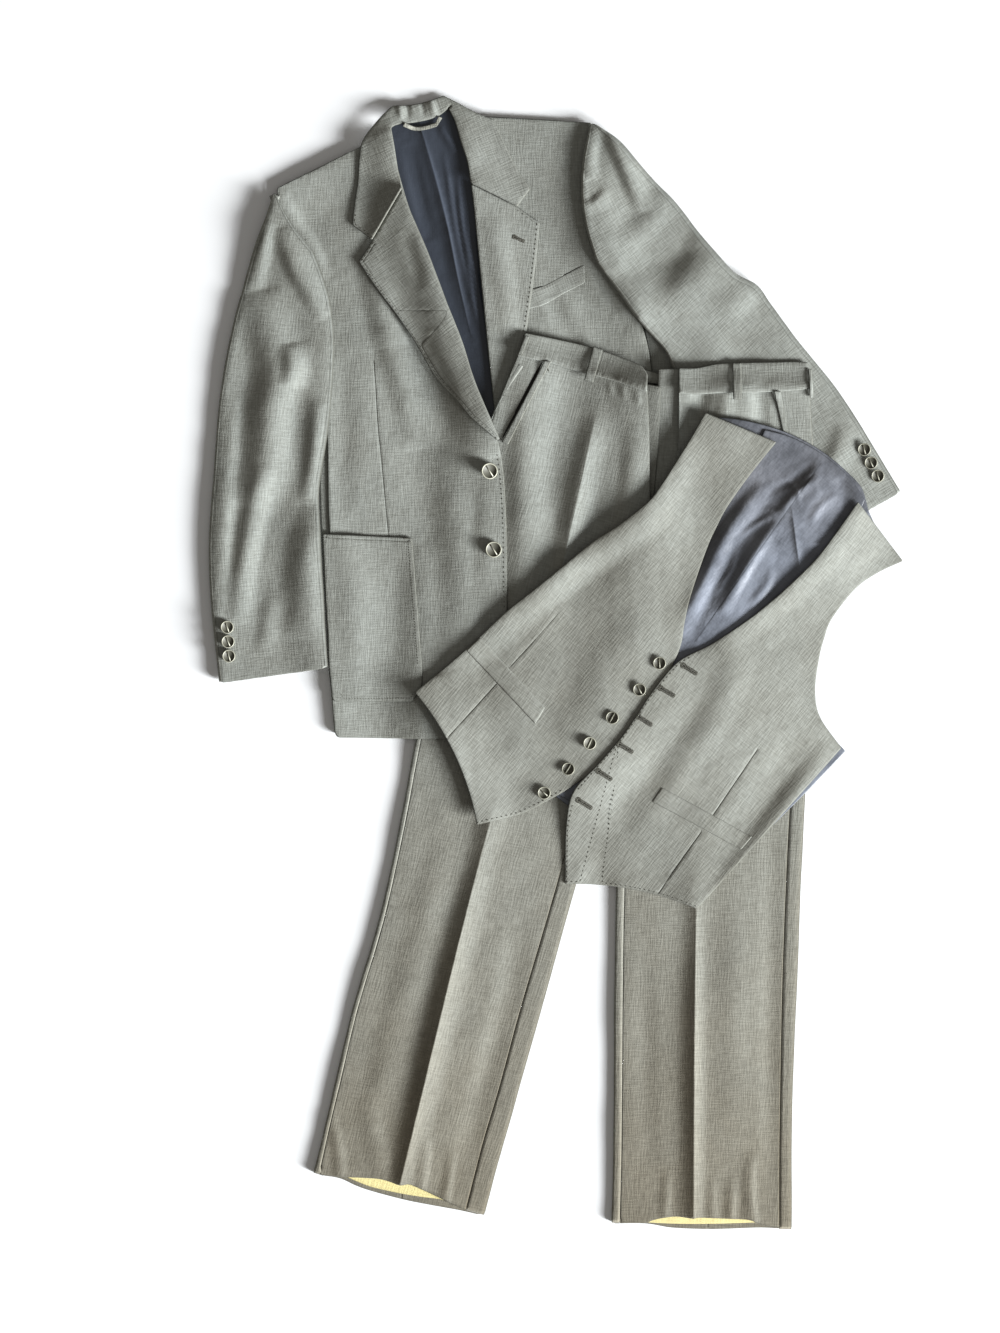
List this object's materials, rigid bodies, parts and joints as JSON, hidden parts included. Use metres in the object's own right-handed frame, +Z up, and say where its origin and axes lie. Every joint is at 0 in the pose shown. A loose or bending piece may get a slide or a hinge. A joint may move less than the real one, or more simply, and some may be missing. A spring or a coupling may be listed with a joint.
{
  "type": "three-piece suit laid flat",
  "caption": "Three-piece suit laid flat: an open single-breasted jacket, pleated trousers across it and a V-neck waistcoat on top.",
  "frame": {"origin": "centre of the bounding box in plan, on the surface that the suit lies on", "axes": "+Z up from the surface; +Y from the trouser hems to the jacket's collar; +X to the wearer's left"},
  "size_m": [0.868, 1.4192, 0.0306],
  "materials": {
    "suiting": "matte grey-olive linen and wool weave",
    "slate_lining": "slate satin lining",
    "lilac_satin": "lilac-grey satin",
    "cream_cotton": "plain cream cotton",
    "braid": "pale braid",
    "button_metal": "pale metal with a dark recess"
  },
  "bodies": {
    "root": {"jacket_back_left": "suiting", "jacket_back_lining": "slate_lining", "jacket_back_right": "suiting", "jacket_breast_welt": "suiting", "jacket_button_cuff_left_lower": "button_metal", "jacket_button_cuff_left_middle": "button_metal", "jacket_button_cuff_left_upper": "button_metal", "jacket_button_cuff_right_lower": "button_metal", "jacket_button_cuff_right_middle": "button_metal", "jacket_button_cuff_right_upper": "button_metal", "jacket_button_front_lower": "button_metal", "jacket_button_front_upper": "button_metal", "jacket_collar": "suiting", "jacket_front_left": "suiting", "jacket_front_right": "suiting", "jacket_hanger_loop": "braid", "jacket_lapel_left": "suiting", "jacket_lapel_right": "suiting", "jacket_pocket_right": "suiting", "jacket_side_left": "suiting", "jacket_side_right": "suiting", "jacket_sleeve_left_top": "suiting", "jacket_sleeve_left_under": "suiting", "jacket_sleeve_right_top": "suiting", "jacket_sleeve_right_under": "suiting", "trousers_back_left": "suiting", "trousers_back_right": "suiting", "trousers_belt_loop_left_front": "suiting", "trousers_belt_loop_left_side": "suiting", "trousers_belt_loop_right_front": "suiting", "trousers_belt_loop_right_side": "suiting", "trousers_fly_underlap": "suiting", "trousers_front_left": "suiting", "trousers_front_right": "suiting", "trousers_hem_facing_left": "cream_cotton", "trousers_hem_facing_right": "cream_cotton", "trousers_slash_welt_left": "suiting", "trousers_slash_welt_right": "suiting", "trousers_waistband_back_left": "suiting", "trousers_waistband_back_right": "suiting", "trousers_waistband_left": "suiting", "trousers_waistband_right": "suiting", "waistcoat_back": "lilac_satin", "waistcoat_back_lining": "lilac_satin", "waistcoat_button_1": "button_metal", "waistcoat_button_2": "button_metal", "waistcoat_button_3": "button_metal", "waistcoat_button_4": "button_metal", "waistcoat_button_5": "button_metal", "waistcoat_button_6": "button_metal", "waistcoat_front_left": "suiting", "waistcoat_front_right": "suiting", "waistcoat_welt_left": "suiting", "waistcoat_welt_right": "suiting"}
  },
  "joints": []
}
